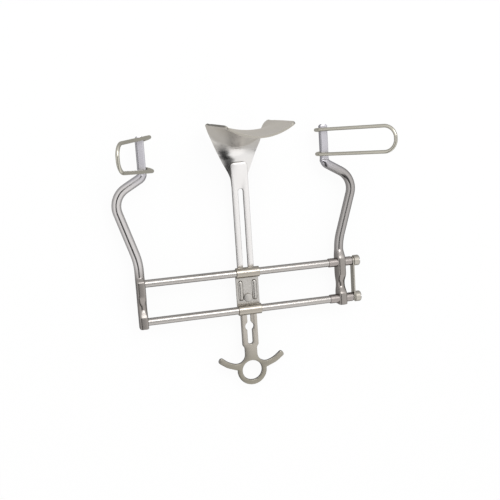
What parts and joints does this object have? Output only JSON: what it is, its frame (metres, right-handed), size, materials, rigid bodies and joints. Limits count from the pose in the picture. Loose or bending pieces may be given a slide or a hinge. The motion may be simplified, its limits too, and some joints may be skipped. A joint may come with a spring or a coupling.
{
  "type": "self-retaining abdominal retractor",
  "caption": "Self-retaining retractor: two arms on parallel rods with wire side blades, and a saddle centre blade on a slotted ring-handled shaft.",
  "frame": {"origin": "middle of the fixed arm's flat lower end face, on the arm's own centre line in the plane of the rods' axes", "axes": "+X runs along the rods from the fixed arm to the sliding arm, +Y runs up the arms from the foot towards the blades, and +Z points to the patient's side, where the three blades reach"},
  "size_m": [0.2471, 0.2466, 0.0943],
  "materials": {
    "arm_steel": "satin",
    "rod_steel": "satin",
    "trim_steel": "satin",
    "wire_steel": "satin",
    "plate_steel": "satin",
    "saddle_steel": "polished"
  },
  "bodies": {
    "frame": {"fixed_arm": "arm_steel", "upper_rod": "rod_steel", "lower_rod": "rod_steel", "end_bar": "trim_steel", "upper_end_screw": "trim_steel", "lower_end_screw": "trim_steel"},
    "left_blade": {"left_wire_blade": "wire_steel"},
    "moving_arm": {"sliding_arm": "arm_steel", "upper_sleeve": "rod_steel", "lower_sleeve": "rod_steel"},
    "right_blade": {"right_wire_blade": "wire_steel"},
    "slide": {"slide_plate": "plate_steel", "clamp_bolt": "trim_steel"},
    "centre_blade": {"blade_shaft": "plate_steel", "saddle_blade": "saddle_steel"},
    "nut": {"wing_nut": "trim_steel"}
  },
  "joints": [
    {"name": "arm_slide", "type": "slide", "parent": "frame", "child": "moving_arm", "axis": [1, 0, 0], "range_m": [-0.041, 0.0005]},
    {"name": "plate_slide", "type": "slide", "parent": "frame", "child": "slide", "axis": [1, 0, 0], "range_m": [-0.047, 0.041]},
    {"name": "blade_slide", "type": "slide", "parent": "slide", "child": "centre_blade", "axis": [0, 1, 0], "range_m": [-0.0985, 0.043]},
    {"name": "nut_spin", "type": "hinge", "parent": "slide", "child": "nut", "pos_m": [0.0985, 0.0166, -0.011], "axis": [0, 0, 1], "continuous": true},
    {"name": "left_blade_swing", "type": "hinge", "parent": "frame", "child": "left_blade", "pos_m": [0.01, 0.1549, -0.003], "axis": [0, 1, 0], "range_deg": [-32, 33]},
    {"name": "right_blade_swing", "type": "hinge", "parent": "moving_arm", "child": "right_blade", "pos_m": [0.18, 0.1549, -0.003], "axis": [0, 1, 0], "range_deg": [-50, 15]}
  ]
}
